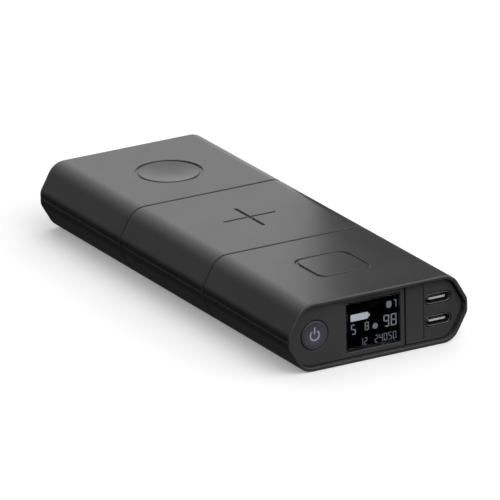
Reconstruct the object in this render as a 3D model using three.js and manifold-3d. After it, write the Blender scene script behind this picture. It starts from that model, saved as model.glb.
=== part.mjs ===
// Slim portable battery pack: two half shells around four round cells, with a display, a power button
// and two sockets in one end, and charging contacts in the other.
// Millimetres, +Z up. The pack lies on its underside with its display end towards -Y.
// Inside the group everything is placed from the middle of the pack; the group lifts it to stand on Z = 0.

import * as THREE from 'three';
import { mergeVertices } from 'three/addons/utils/BufferGeometryUtils.js';
import Module from 'manifold-3d';

const wasm = await Module();
wasm.setup();

// ---- Driving dimensions -------------------------------------------------------------------------------

// Casing
const width = 63.4;
const length = 158;
const thickness = 22;
const flankLean = 5.1;        // how far each flank leans in between the narrow side and the broad face
const sideFlat = 4.3;         // upright band along the middle of each narrow side, before rounding
const shoulderRadius = 6.2;   // rounding between a flank and a broad face
const sideRadius = 3.6;       // rounding between a flank and the upright band
const wall = 1.6;
const rim = 1.2;              // edge of the casing seen around each end plate
const seam = 0.5;             // open line between the two half shells
const lapWall = 0.8;          // outer part of the upper shell's edge, which overlaps the lip
const lipWall = 0.5;          // lip of the lower shell, inside the seam
const lipHeight = 1.2;        // how far the lip stands above the middle of the pack
const fitGap = 0.3;           // between pieces that seat on, hold or pass through each other

// Marks and grooves in the outside of the casing
const bands = 3;              // equal lengths that the grooves divide the casing into
const grooveWidth = 0.9;
const grooveDepth = 0.5;
const dishRadius = 10.9;
const dishDepth = 0.95;
const dishRim = 0.12;         // the dish starts this far below the face, inside the line around it
const markWidth = 1.1;        // line width of the plus, the square and the ring around the dish
const markDepth = 0.5;
const plusSpan = 18.5;
const squareSpan = 18;
const squareCorner = 3.5;

// End plates
const recess = 1.65;          // end plates lie this far inside the casing's ends
const plateThickness = 1.6;
const plateSeamWidth = 0.5;   // open line between the display's plate and the sockets' plate
const portLineWidth = 0.5;    // fine line beside the sockets
const portLineGap = 0.25;     // between that line and the sockets' holes
const portLineDepth = 0.3;

// Display
const windowX = -0.85;
const windowWidth = 19.1;
const windowBorder = 1.45;    // plate above, below and to the right of the window
const windowThickness = 1.2;
const windowSetback = 0.1;
const panelOverlap = 0.7;     // how far the panel reaches past each side of the window
const panelThickness = 1.5;
const carrierWall = 1.2;
const carrierWindowWidth = 12;
const carrierWindowHeight = 6;
const flexWidth = 8;
const flexThickness = 0.25;
const flexRise = 2.4;         // how far the ribbon climbs on its way to the board

// Power button and its switch
const buttonX = -21.6;
const buttonRadius = 4.6;
const buttonProud = 0.25;
const buttonDish = 0.2;       // hollow in the button's face
const buttonEdge = 0.3;       // bevel around the button's face
const buttonFlange = 0.8;     // flange behind the plate: this much wider, and this thick
const buttonTravel = 0.5;
const stemRadius = 1.4;
const switchWidth = 6;
const switchDepth = 3.2;
const plungerRadius = 1.6;
const plungerReach = 1.0;     // how far the plunger stands out of the switch
const plungerRoot = 0.8;      // how far it goes into the switch at rest
const lightWidth = 1.6;
const lightHeight = 0.8;
const lightZ = 4.6;

// Sockets
const portX = 22.1;
const portPitch = 7.1;
const usbWidth = 8.94;
const usbHeight = 3.26;
const usbWall = 0.3;
const usbLength = 9.2;
const usbSetback = 0.15;
const tongueWidth = 6.7;
const tongueThickness = 0.7;
const tongueSetback = 0.9;
const tongueBase = 2.4;       // depth of the moulding that carries the tongue

// Boards
const boardThickness = 1.2;
const boardGap = 0.5;         // between a board's edge and the casing
const frontBay = 3;           // room behind the front board
const mainBoardHeight = 4.4;  // underside of the main board above the casing's floor
const mainBoardEnd = 10;      // main board stops this far short of the rear strip
const bossRadius = 2.3;
const screwRadius = 0.75;
const screwLength = 4.2;
const headRadius = 1.9;
const headHeight = 1.3;
const headCrownRadius = 1.1;
const headSideHeight = 0.8;
const screwInset = 10.2;      // end screws from the main board's ends
const ribWidth = 5;
const ribHeight = 2.2;
const ribThickness = 1;
const ribX = 13;

// Parts on the main board, in rows to each side of its middle screw
const partGap = 1.4;          // between one row and the next
const inductorWidth = 12.4;
const inductorHeight = 7;
const inductorCorner = 2.5;
const capacitorRadius = 4;
const capacitorHeight = 8.5;
const capacitorNeck = 0.4;    // depth of the can's rolled neck, and its rounding at the top
const capacitorNeckZ = 1.4;
const chipHeight = 0.9;
const controllerWidth = 7;
const chargerWidth = 5;
const linkLength = 4;
const linkWidth = 10;
const linkHeight = 4;
const plugWidth = 6;
const plugLength = 8;
const plugHeight = 5;

// Cells
const cellLength = 65;
const cellSpacing = 0.4;      // between neighbouring cells
const capRadius = 4.2;
const capHeight = 0.8;
const crimpDepth = 0.5;
const crimpHeight = 3.2;
const holderWeb = 1.2;
const holderGrip = 4;         // how far a holder reaches along its cells
const holderWall = 1.3;
const terminalRadius = 5;
const stripThickness = 0.3;
const stripHeight = 6;
const linkDiscRadius = 4;

// Rear contacts
const contactCount = 4;
const contactPitch = 8;
const contactWidth = 3;
const contactHeight = 6;
const contactSetback = 0.1;
const contactBoardWidth = 42;
const contactBoardHeight = 12;
const contactBoardThickness = 1;

// Leads
const leadRadius = 0.6;
const leadLane = 2.3;         // batteries' leads run this far to the right of the cell holders
const leadDrop = 2.2;         // room between these leads and the casing's roof

// Fineness of round shapes
const arcSteps = 3;           // half the straight steps in each rounded corner
const roundSteps = 32;
const cellSteps = 24;
const smallRoundSteps = 16;
const dishRings = 5;
const ribbonSteps = 10;
const leadStep = 3.5;         // length of a straight step in a lead
const weldDistance = 1e-4;    // vertices closer than this are one
const roundEnd = 2.01;        // an outline's height over its corner radius, where its ends are round

// ---- Finishes -----------------------------------------------------------------------------------------

const casingPlastic = { color: 0x3a3a3c, roughness: 0.55, metalness: 0 };
const platePlastic = { color: 0x343436, roughness: 0.5, metalness: 0 };
const lensGlass = { color: 0x08090c, roughness: 0.08, metalness: 0 };
const panelGlass = { color: 0x040506, roughness: 0.15, metalness: 0 };
const innerPlastic = { color: 0x1d1d1f, roughness: 0.7, metalness: 0 };
const boardGreen = { color: 0x14502f, roughness: 0.5, metalness: 0 };
const steel = { color: 0xb9babd, roughness: 0.3, metalness: 1 };
const nickel = { color: 0xc9c5bb, roughness: 0.35, metalness: 1 };
const gold = { color: 0xd8b25a, roughness: 0.3, metalness: 1 };
const ferrite = { color: 0x2c2e31, roughness: 0.8, metalness: 0 };
const sleeveBlue = { color: 0x2a5ea8, roughness: 0.4, metalness: 0 };
const ribbonAmber = { color: 0x9a5a1c, roughness: 0.45, metalness: 0 };
const redInsulation = { color: 0xa81c1c, roughness: 0.5, metalness: 0 };
const blackInsulation = { color: 0x161616, roughness: 0.5, metalness: 0 };
const whitePlastic = { color: 0xdedbd2, roughness: 0.6, metalness: 0 };

// ---- Places that follow from the dimensions -----------------------------------------------------------

const floorZ = -thickness / 2 + wall;
const leanAngle = Math.atan2(flankLean, (thickness - sideFlat) / 2);

const plateFaceY = -length / 2 + recess;
const plateBackY = plateFaceY + plateThickness;
const frontBoardY = plateFaceY + usbSetback + usbLength + fitGap;
const frontBoardBackY = frontBoardY + boardThickness;

const stripFrontY = frontBoardBackY + frontBay;
const holderFrontY = stripFrontY + stripThickness + fitGap;
const cellFrontY = holderFrontY + holderWeb + fitGap;
const holderMiddleY = cellFrontY + cellLength + fitGap;
const cellRearY = holderMiddleY + holderWeb + fitGap;
const holderRearY = cellRearY + cellLength + fitGap;
const stripRearY = holderRearY + holderWeb + fitGap;
const contactBoardY = length / 2 - recess - plateThickness - fitGap - contactBoardThickness;

// Cells fill the casing's height, and the left-hand ones lie against its leaning flank.
const cellRadius = thickness / 2 - wall - fitGap;
const flankReach = Math.cos(leanAngle) * width / 2 + Math.sin(leanAngle) * sideFlat / 2 - wall;
const cellLeftX = -(flankReach - cellRadius - fitGap) / Math.cos(leanAngle);
const cellRightX = cellLeftX + 2 * cellRadius + cellSpacing;
const holderRightX = cellRightX + cellRadius + fitGap + holderWall;

const mainBoardZ = floorZ + mainBoardHeight;
const boardTopZ = mainBoardZ + boardThickness;
const mainBoardLeftX = holderRightX + fitGap;
const mainBoardRightX = flankX(wall + boardGap, mainBoardZ);
const mainBoardX = (mainBoardLeftX + mainBoardRightX) / 2;
const mainBoardFrontY = frontBoardBackY + fitGap;
const mainBoardBackY = stripRearY - mainBoardEnd;
const mainBoardY = (mainBoardFrontY + mainBoardBackY) / 2;

const plateSeamX = windowX + windowWidth / 2 + windowBorder + plateSeamWidth / 2;
const portLineX = portX - usbWidth / 2 - fitGap - portLineGap - portLineWidth / 2;

const capacitorY = headRadius + partGap + capacitorRadius;
const inductorY = capacitorY + capacitorRadius + partGap + inductorWidth / 2;
const chipY = inductorY + inductorWidth / 2 + partGap;
const plugY = mainBoardY + chipY + chargerWidth + partGap + plugLength / 2;
const plugFaceX = mainBoardX - plugWidth / 2 - fitGap;
const plugEntryZ = boardTopZ + fitGap + plugHeight / 2;
const laneX = holderRightX + leadLane;
const laneZ = thickness / 2 - wall - leadDrop - leadRadius;

const panelWidth = windowWidth + 2 * panelOverlap;
const windowHeight = thickness - 2 * (rim + fitGap + windowBorder);
const panelHeight = windowHeight + 2 * panelOverlap;
const panelY = plateBackY + fitGap;
const carrierY = panelY + panelThickness + fitGap;

// X of a flank at height z, for the casing's outline moved inwards by inset.
function flankX(inset, z) {
  const startZ = sideFlat / 2 - inset * Math.tan(leanAngle / 2);
  return width / 2 - inset - Math.max(Math.abs(z) - startZ, 0) * Math.tan(leanAngle);
}

// ---- Solids -------------------------------------------------------------------------------------------

// Closed solid of a geometry: shared vertices merged, collapsed triangles dropped.
function solid(geometry) {
  const bare = new THREE.BufferGeometry();
  bare.setAttribute('position', geometry.getAttribute('position'));
  bare.setIndex(geometry.getIndex());
  const merged = mergeVertices(bare, weldDistance);
  const corners = merged.getIndex().array;
  const kept = [];
  for (let i = 0; i < corners.length; i += 3) {
    const [a, b, c] = corners.slice(i, i + 3);
    if (a !== b && b !== c && c !== a) kept.push(a, b, c);
  }
  const vertProperties = new Float32Array(merged.getAttribute('position').array);
  return new wasm.Manifold(new wasm.Mesh({ numProp: 3, vertProperties, triVerts: new Uint32Array(kept) }));
}

function geometryOf(body) {
  const { vertProperties, triVerts } = body.getMesh();
  const geometry = new THREE.BufferGeometry();
  geometry.setAttribute('position', new THREE.BufferAttribute(new Float32Array(vertProperties), 3));
  geometry.setIndex(new THREE.BufferAttribute(new Uint32Array(triVerts), 1));
  geometry.computeVertexNormals();
  return geometry;
}

function block(x0, x1, y0, y1, z0, z1) {
  const box = new THREE.BoxGeometry(x1 - x0, y1 - y0, z1 - z0);
  box.translate((x0 + x1) / 2, (y0 + y1) / 2, (z0 + z1) / 2);
  return solid(box);
}

function alongY(shape, y0, y1) {
  const prism = new THREE.ExtrudeGeometry(shape, {
    depth: y1 - y0, bevelEnabled: false, curveSegments: arcSteps,
  });
  prism.rotateX(Math.PI / 2);
  prism.translate(0, y1, 0);
  return solid(prism);
}

function alongZ(shape, z0, z1) {
  const prism = new THREE.ExtrudeGeometry(shape, {
    depth: z1 - z0, bevelEnabled: false, curveSegments: arcSteps,
  });
  prism.translate(0, 0, z0);
  return solid(prism);
}

// Turned solid about Z, from [radius, height] points that start and end on the axis, lowest first.
function turnedZ(profile, steps) {
  const lathe = new THREE.LatheGeometry(profile.map(([r, z]) => new THREE.Vector2(r, z)), steps);
  lathe.rotateX(Math.PI / 2);
  return solid(lathe);
}

// Turned solid about Y, from [radius, y] points that start and end on the axis, lowest y first.
function turnedY(profile, steps) {
  return solid(new THREE.LatheGeometry(profile.map(([r, y]) => new THREE.Vector2(r, y)), steps));
}

function discZ(radius, z0, z1, steps) {
  return turnedZ([[0, z0], [radius, z0], [radius, z1], [0, z1]], steps);
}

function discY(radius, y0, y1, steps) {
  return turnedY([[0, y0], [radius, y0], [radius, y1], [0, y1]], steps);
}

// Outline of straight edges with a rounded corner at each [x, y, radius], anticlockwise.
function roundedOutline(corners) {
  const shape = new THREE.Shape();
  corners.forEach(([x, y, radius], i) => {
    const corner = new THREE.Vector2(x, y);
    const [px, py] = corners.at(i - 1);
    const [nx, ny] = corners[(i + 1) % corners.length];
    const back = new THREE.Vector2(px, py).sub(corner).normalize();
    const ahead = new THREE.Vector2(nx, ny).sub(corner).normalize();
    const half = Math.acos(back.dot(ahead)) / 2;
    const centre = back.clone().add(ahead).setLength(radius / Math.sin(half)).add(corner);
    const start = back.multiplyScalar(radius / Math.tan(half)).add(corner).sub(centre);
    const end = ahead.multiplyScalar(radius / Math.tan(half)).add(corner).sub(centre);
    shape.absarc(centre.x, centre.y, radius, start.angle(), end.angle(), false);
  });
  return shape;
}

function roundedRectangle(across, high, radius, x = 0, y = 0) {
  return roundedOutline([
    [x + across / 2, y - high / 2, radius],
    [x + across / 2, y + high / 2, radius],
    [x - across / 2, y + high / 2, radius],
    [x - across / 2, y - high / 2, radius],
  ]);
}

// Outline of the casing across its length, moved inwards by inset.
function casingOutline(inset) {
  const sideX = width / 2 - inset;
  const sideZ = sideFlat / 2 - inset * Math.tan(leanAngle / 2);
  const topX = width / 2 - flankLean - inset * Math.tan((Math.PI / 2 - leanAngle) / 2);
  const topZ = thickness / 2 - inset;
  const shoulder = shoulderRadius - inset;
  const side = sideRadius - inset;
  return roundedOutline([
    [sideX, -sideZ, side],
    [sideX, sideZ, side],
    [topX, topZ, shoulder],
    [-topX, topZ, shoulder],
    [-sideX, sideZ, side],
    [-sideX, -sideZ, side],
    [-topX, -topZ, shoulder],
    [topX, -topZ, shoulder],
  ]);
}

function casingPrism(inset, y0, y1) {
  return alongY(casingOutline(inset), y0, y1);
}

const over = 1;               // how far a cutter runs past what it cuts

// ---- Casing -------------------------------------------------------------------------------------------

// Casing without its seam, lip, marks and fittings: a tube with a wider seat for the plate at each end.
function casingTube() {
  const end = length / 2;
  const seat = recess + plateThickness + fitGap;
  return casingPrism(0, -end, end)
    .subtract(casingPrism(wall, -end - over, end + over))
    .subtract(casingPrism(rim, -end - over, -end + seat))
    .subtract(casingPrism(rim, end - seat, end + over))
    .subtract(grooveRings());
}

// Grooves that run all round the casing between its bands.
function grooveRings() {
  let rings = null;
  for (let i = 1; i < bands; i += 1) {
    const y = -length / 2 + (length / bands) * i;
    const y0 = y - grooveWidth / 2;
    const y1 = y + grooveWidth / 2;
    const ring = casingPrism(-over, y0, y1).subtract(casingPrism(grooveDepth, y0 - over, y1 + over));
    rings = rings ? rings.add(ring) : ring;
  }
  return rings;
}

// Shallow round hollow inside a ring-shaped line.
function dishCutter() {
  const inner = dishRadius - markWidth;
  const profile = [];
  for (let i = 0; i <= dishRings; i += 1) {
    const share = i / dishRings;
    profile.push([inner * share, -dishDepth + (dishDepth - dishRim) * share ** 2]);
  }
  profile.push([inner, -markDepth], [dishRadius, -markDepth], [dishRadius, over], [0, over]);
  return turnedZ(profile, roundSteps);
}

function plusCutter() {
  const bar = roundedRectangle(plusSpan, markWidth, markWidth / roundEnd);
  const post = roundedRectangle(markWidth, plusSpan, markWidth / roundEnd);
  return alongZ(bar, -markDepth, over).add(alongZ(post, -markDepth, over));
}

function squareCutter() {
  const outer = squareSpan + markWidth;
  const inner = squareSpan - markWidth;
  const ring = alongZ(roundedRectangle(outer, outer, squareCorner + markWidth / 2), -markDepth, over);
  const middle = roundedRectangle(inner, inner, squareCorner - markWidth / 2);
  return ring.subtract(alongZ(middle, -markDepth - over, 2 * over));
}

function upperShell() {
  const band = length / bands;
  const top = thickness / 2;
  const half = block(-width, width, -length, length, seam / 2, thickness);
  const lap = block(-width, width, -length, length, -thickness, lipHeight + fitGap);
  const lapRoom = casingPrism(lapWall, -length / 2 - over, length / 2 + over).intersect(lap);
  return casingTube()
    .intersect(half)
    .subtract(lapRoom)
    .subtract(dishCutter().translate([0, band, top]))
    .subtract(plusCutter().translate([0, 0, top]))
    .subtract(squareCutter().translate([0, -band, top]));
}

// Lip inside the seam, along both sides, between the end plates' seats.
function lip() {
  const end = length / 2 - recess - plateThickness - fitGap;
  const strip = casingPrism(wall - lipWall, -end, end).subtract(casingPrism(wall, -end - over, end + over));
  return strip.intersect(block(-width, width, -length, length, -sideFlat / 2, lipHeight));
}

function lowerShell() {
  const half = block(-width, width, -length, length, -thickness, -seam / 2);
  let shell = casingTube().intersect(half).add(lip()).add(boardRail());
  for (const y of screwPlaces()) {
    shell = shell.add(discZ(bossRadius, floorZ - wall / 2, mainBoardZ - fitGap, smallRoundSteps)
      .translate([mainBoardX, y, 0]));
  }
  for (const rib of boardRibs()) {
    shell = shell.add(rib);
  }
  for (const y of screwPlaces()) {
    shell = shell.subtract(discZ(screwRadius + fitGap, floorZ, 0, smallRoundSteps)
      .translate([mainBoardX, y, 0]));
  }
  return shell;
}

// Rail along the cell holders that carries the main board's left-hand edge.
function boardRail() {
  const x0 = mainBoardLeftX;
  return block(x0, x0 + ribThickness, holderFrontY, mainBoardBackY, floorZ - wall / 2, mainBoardZ - fitGap);
}

// Low ribs in front of and behind the front board, and one pair in front of the contact board.
function boardRibs() {
  const rows = [
    [frontBoardY - fitGap - ribThickness, floorZ + ribHeight],
    [frontBoardBackY + fitGap, floorZ + ribHeight],
    [contactBoardY - fitGap - ribThickness, -contactBoardHeight / 2 + ribThickness],
  ];
  return rows.flatMap(([y, top]) => [-ribX, ribX].map((x) =>
    block(x - ribWidth / 2, x + ribWidth / 2, y, y + ribThickness, floorZ - wall / 2, top)));
}

function screwPlaces() {
  return [mainBoardFrontY + screwInset, mainBoardY, mainBoardBackY - screwInset];
}

// ---- End plates ---------------------------------------------------------------------------------------

function endPlate() {
  return casingPrism(rim + fitGap, 0, plateThickness);
}

function frontPlate() {
  const left = block(-width, plateSeamX - plateSeamWidth / 2, -over, plateThickness + over,
    -thickness, thickness);
  const opening = block(windowX - windowWidth / 2, windowX + windowWidth / 2, -over, plateThickness + over,
    -windowHeight / 2, windowHeight / 2);
  const hole = discY(buttonRadius + fitGap, -over, plateThickness + over, roundSteps);
  return endPlate()
    .intersect(left)
    .subtract(opening)
    .subtract(hole.translate([buttonX, 0, 0]));
}

function portPlate() {
  const right = block(plateSeamX + plateSeamWidth / 2, width, -over, plateThickness + over,
    -thickness, thickness);
  const line = block(portLineX - portLineWidth / 2, portLineX + portLineWidth / 2, -over, portLineDepth,
    -thickness, thickness);
  let plate = endPlate().intersect(right).subtract(line);
  for (const z of portHeights()) {
    const hole = alongY(socketOutline(fitGap), -over, plateThickness + over);
    plate = plate.subtract(hole.translate([portX, 0, z]));
  }
  return plate;
}

function rearPlate() {
  let plate = endPlate();
  for (const x of contactPlaces()) {
    plate = plate.subtract(block(x - contactWidth / 2 - fitGap, x + contactWidth / 2 + fitGap,
      -over, plateThickness + over, -contactHeight / 2 - fitGap, contactHeight / 2 + fitGap));
  }
  return plate;
}

function contactPlaces() {
  return Array.from({ length: contactCount }, (_, i) => (i - (contactCount - 1) / 2) * contactPitch);
}

function contactPad() {
  return block(-contactWidth / 2, contactWidth / 2, 0, plateThickness - contactSetback,
    -contactHeight / 2, contactHeight / 2);
}

function contactBoard() {
  return block(-contactBoardWidth / 2, contactBoardWidth / 2, 0, contactBoardThickness,
    -contactBoardHeight / 2, contactBoardHeight / 2);
}

// ---- Display ------------------------------------------------------------------------------------------

function displayWindow() {
  const across = windowWidth / 2 - fitGap;
  const high = windowHeight / 2 - fitGap;
  return block(-across, across, 0, windowThickness, -high, high);
}

function displayPanel() {
  return block(-panelWidth / 2, panelWidth / 2, 0, panelThickness, -panelHeight / 2, panelHeight / 2);
}

// Back wall with an opening for the ribbon, and a side wall either side of the panel.
function displayCarrier() {
  const inner = panelWidth / 2 + fitGap;
  const outer = inner + carrierWall;
  const high = panelHeight / 2;
  const front = -panelThickness - fitGap;
  return block(-outer, outer, 0, carrierWall, -high, high)
    .add(block(-outer, -inner, front, carrierWall, -high, high))
    .add(block(inner, outer, front, carrierWall, -high, high))
    .subtract(block(-carrierWindowWidth / 2, carrierWindowWidth / 2, -over, carrierWall + over,
      -carrierWindowHeight / 2, carrierWindowHeight / 2));
}

// Ribbon from the back of the panel to the front board, in a smooth step upwards.
function displayFlex() {
  const startY = 0;
  const endY = frontBoardY - fitGap - carrierY;
  const path = new THREE.CubicBezierCurve3(
    new THREE.Vector3(0, startY, -flexRise / 2),
    new THREE.Vector3(0, endY / 2, -flexRise / 2),
    new THREE.Vector3(0, endY / 2, flexRise / 2),
    new THREE.Vector3(0, endY, flexRise / 2),
  );
  const across = flexWidth / 2;
  const high = flexThickness / 2;
  const strip = new THREE.Shape([
    new THREE.Vector2(-across, -high),
    new THREE.Vector2(across, -high),
    new THREE.Vector2(across, high),
    new THREE.Vector2(-across, high),
  ]);
  return swept(strip, path, ribbonSteps);
}

// ---- Power button -------------------------------------------------------------------------------------

// Cap, flange behind the plate and stem, turned about the button's axis; y = 0 is the plate's outer face.
function powerButton() {
  const flangeY = plateThickness + fitGap;
  const stemEnd = switchFaceY() - plungerReach - fitGap - plateFaceY;
  return turnedY([
    [0, -buttonProud + buttonDish],
    [buttonRadius / 2, -buttonProud + buttonDish / 2],
    [buttonRadius - buttonEdge, -buttonProud],
    [buttonRadius, -buttonProud + buttonEdge],
    [buttonRadius, flangeY],
    [buttonRadius + buttonFlange, flangeY],
    [buttonRadius + buttonFlange, flangeY + buttonFlange],
    [stemRadius, flangeY + buttonFlange],
    [stemRadius, stemEnd],
    [0, stemEnd],
  ], roundSteps);
}

// Y of the switch's outer face.
function switchFaceY() {
  return frontBoardY - fitGap - switchDepth;
}

function buttonSwitch() {
  const half = switchWidth / 2;
  const well = plungerRoot + buttonTravel + fitGap;
  return block(-half, half, 0, switchDepth, -half, half)
    .subtract(discY(plungerRadius + fitGap, -over, well, smallRoundSteps));
}

function switchPlunger() {
  return discY(plungerRadius, -plungerReach, plungerRoot, smallRoundSteps);
}

function buttonLight() {
  return block(-lightWidth / 2, lightWidth / 2, -lightHeight, 0, -lightHeight / 2, lightHeight / 2);
}

// ---- Sockets ------------------------------------------------------------------------------------------

function portHeights() {
  return [portPitch / 2, -portPitch / 2];
}

// Round-ended outline of a socket's shell, moved outwards by grow.
function socketOutline(grow) {
  const high = usbHeight + 2 * grow;
  return roundedRectangle(usbWidth + 2 * grow, high, high / roundEnd);
}

function usbShell() {
  return alongY(socketOutline(0), 0, usbLength)
    .subtract(alongY(socketOutline(-usbWall), -over, usbLength + over));
}

function usbTongue() {
  const half = tongueWidth / 2;
  return alongY(socketOutline(-usbWall - fitGap), usbLength - tongueBase, usbLength)
    .add(block(-half, half, tongueSetback, usbLength - tongueBase / 2,
      -tongueThickness / 2, tongueThickness / 2));
}

// ---- Boards and what they carry -----------------------------------------------------------------------

function frontBoard() {
  return casingPrism(wall + boardGap, 0, boardThickness);
}

function mainBoard() {
  let board = block(mainBoardLeftX - mainBoardX, mainBoardRightX - mainBoardX,
    mainBoardFrontY, mainBoardBackY, 0, boardThickness);
  for (const y of screwPlaces()) {
    const hole = discZ(screwRadius + fitGap, -over, boardThickness + over, smallRoundSteps);
    board = board.subtract(hole.translate([0, y, 0]));
  }
  return board;
}

function boardScrew() {
  return turnedZ([
    [0, -screwLength],
    [screwRadius, -screwLength],
    [screwRadius, 0],
    [headRadius, 0],
    [headRadius, headSideHeight],
    [headCrownRadius, headHeight],
    [0, headHeight],
  ], smallRoundSteps);
}

function boxedPart(across, along, high) {
  return block(-across / 2, across / 2, -along / 2, along / 2, 0, high);
}

function powerInductor() {
  return alongZ(roundedRectangle(inductorWidth, inductorWidth, inductorCorner), 0, inductorHeight);
}

function capacitor() {
  const r = capacitorRadius;
  const neck = capacitorNeck;
  const neckZ = capacitorNeckZ;
  return turnedZ([
    [0, 0],
    [r, 0],
    [r, neckZ - neck],
    [r - neck, neckZ],
    [r, neckZ + neck],
    [r, capacitorHeight - neck],
    [r - neck, capacitorHeight],
    [0, capacitorHeight],
  ], smallRoundSteps);
}

// ---- Cells --------------------------------------------------------------------------------------------

// Round cell with its positive cap towards +Y and the rolled groove of its can near that end.
function cell() {
  const r = cellRadius;
  const canEnd = cellLength - capHeight;
  const crimp = canEnd - crimpHeight;
  return turnedY([
    [0, 0],
    [r - crimpDepth, 0],
    [r, crimpDepth],
    [r, crimp - crimpDepth],
    [r - crimpDepth, crimp],
    [r, crimp + crimpDepth],
    [r, canEnd - crimpDepth],
    [r - crimpDepth, canEnd],
    [capRadius, canEnd],
    [capRadius, cellLength],
    [0, cellLength],
  ], cellSteps);
}

// Holder with pockets before (-1) or behind (+1) its web, or on both sides, and a hole at each terminal.
function cellHolder(sides) {
  const y0 = sides.includes(-1) ? -holderGrip : 0;
  const y1 = sides.includes(1) ? holderWeb + holderGrip : holderWeb;
  let holder = casingPrism(wall + fitGap, y0, y1)
    .intersect(block(-width, holderRightX, y0 - over, y1 + over, -thickness, thickness));
  for (const x of [cellLeftX, cellRightX]) {
    const pocket = cellRadius + fitGap;
    holder = holder
      .subtract(discY(pocket, y0 - over, 0, cellSteps).translate([x, 0, 0]))
      .subtract(discY(pocket, holderWeb, y1 + over, cellSteps).translate([x, 0, 0]))
      .subtract(discY(terminalRadius, -over, holderWeb + over, smallRoundSteps).translate([x, 0, 0]));
  }
  return holder;
}

// Strip across both cells of a row.
function cellStrip() {
  return block(cellLeftX - linkDiscRadius, cellRightX + cellRadius - fitGap, 0, stripThickness,
    -stripHeight / 2, stripHeight / 2);
}

function cellLink() {
  return discY(linkDiscRadius, 0, holderWeb, smallRoundSteps);
}

// ---- Leads --------------------------------------------------------------------------------------------

function swept(shape, path, steps) {
  const sweep = new THREE.ExtrudeGeometry(shape, {
    steps, extrudePath: path, bevelEnabled: false, curveSegments: arcSteps,
  });
  return solid(sweep);
}

function lead(points) {
  const section = new THREE.Shape();
  section.absarc(0, 0, leadRadius, 0, 2 * Math.PI, false);
  const path = new THREE.CatmullRomCurve3(points.map((p) => new THREE.Vector3(...p)), false, 'centripetal');
  return swept(section, path, Math.ceil(path.getLength() / leadStep));
}

// From the front strip round the holder's corner, along the cells and into the battery plug.
function positiveLead() {
  const startY = stripFrontY - fitGap - leadRadius;
  const endY = plugY - plugLength / 4;
  return lead([
    [cellRightX + cellRadius / 2, startY, 0],
    [holderRightX - leadLane / 2, startY, laneZ / 3],
    [laneX, startY + leadLane, laneZ],
    [laneX, startY + 4 * leadLane, laneZ],
    [laneX, endY - 3 * leadLane, laneZ],
    [laneX, endY - leadRadius, plugEntryZ + leadLane],
    [plugFaceX, endY, plugEntryZ],
  ]);
}

// From the rear strip round the holder's corner and forwards into the battery plug.
function negativeLead() {
  const startY = stripRearY + stripThickness + fitGap + leadRadius;
  const endY = plugY + plugLength / 4;
  return lead([
    [cellRightX + cellRadius / 2, startY, 0],
    [holderRightX - leadLane / 2, startY, laneZ / 3],
    [laneX, startY - leadLane, laneZ],
    [laneX, endY + 3 * leadLane, laneZ],
    [laneX, endY + leadRadius, plugEntryZ + leadLane],
    [plugFaceX, endY, plugEntryZ],
  ]);
}

// From the contact board down to the rear end of the main board.
function contactLead() {
  const startY = contactBoardY - fitGap;
  const landing = boardTopZ + fitGap + leadRadius;
  return lead([
    [0, startY, 0],
    [0, startY - 2 * leadRadius, 0],
    [0, (startY + mainBoardBackY) / 2, landing + leadLane],
    [0, mainBoardBackY - leadLane, landing],
    [0, mainBoardBackY - 2 * leadLane, landing],
  ]);
}

// ---- The pack -----------------------------------------------------------------------------------------

const pack = new THREE.Group();
const fromMiddle = new THREE.Group();
fromMiddle.position.z = thickness / 2;
pack.add(fromMiddle);

function add(name, body, finish, x = 0, y = 0, z = 0) {
  const mesh = new THREE.Mesh(geometryOf(body), new THREE.MeshStandardMaterial(finish));
  mesh.name = name;
  mesh.position.set(x, y, z);
  fromMiddle.add(mesh);
}

function addCasing() {
  add('upper_shell', upperShell(), casingPlastic);
  add('lower_shell', lowerShell(), casingPlastic);
  add('front_plate', frontPlate(), platePlastic, 0, plateFaceY);
  add('port_plate', portPlate(), platePlastic, 0, plateFaceY);
  add('rear_plate', rearPlate(), platePlastic, 0, -plateBackY);
}

function addDisplay() {
  add('display_window', displayWindow(), lensGlass, windowX, plateFaceY + windowSetback);
  add('display_panel', displayPanel(), panelGlass, windowX, panelY);
  add('display_carrier', displayCarrier(), innerPlastic, windowX, carrierY);
  add('display_flex', displayFlex(), ribbonAmber, windowX, carrierY);
}

function addButton() {
  add('power_button', powerButton(), platePlastic, buttonX, plateFaceY);
  add('switch_plunger', switchPlunger(), innerPlastic, buttonX, switchFaceY());
  add('button_switch', buttonSwitch(), innerPlastic, buttonX, switchFaceY());
  add('button_light', buttonLight(), whitePlastic, buttonX, frontBoardY - fitGap, lightZ);
}

function addSockets() {
  const y = plateFaceY + usbSetback;
  ['upper', 'lower'].forEach((level, i) => {
    const z = portHeights()[i];
    add(`usb_shell_${level}`, usbShell(), steel, portX, y, z);
    add(`usb_tongue_${level}`, usbTongue(), innerPlastic, portX, y, z);
  });
}

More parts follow.
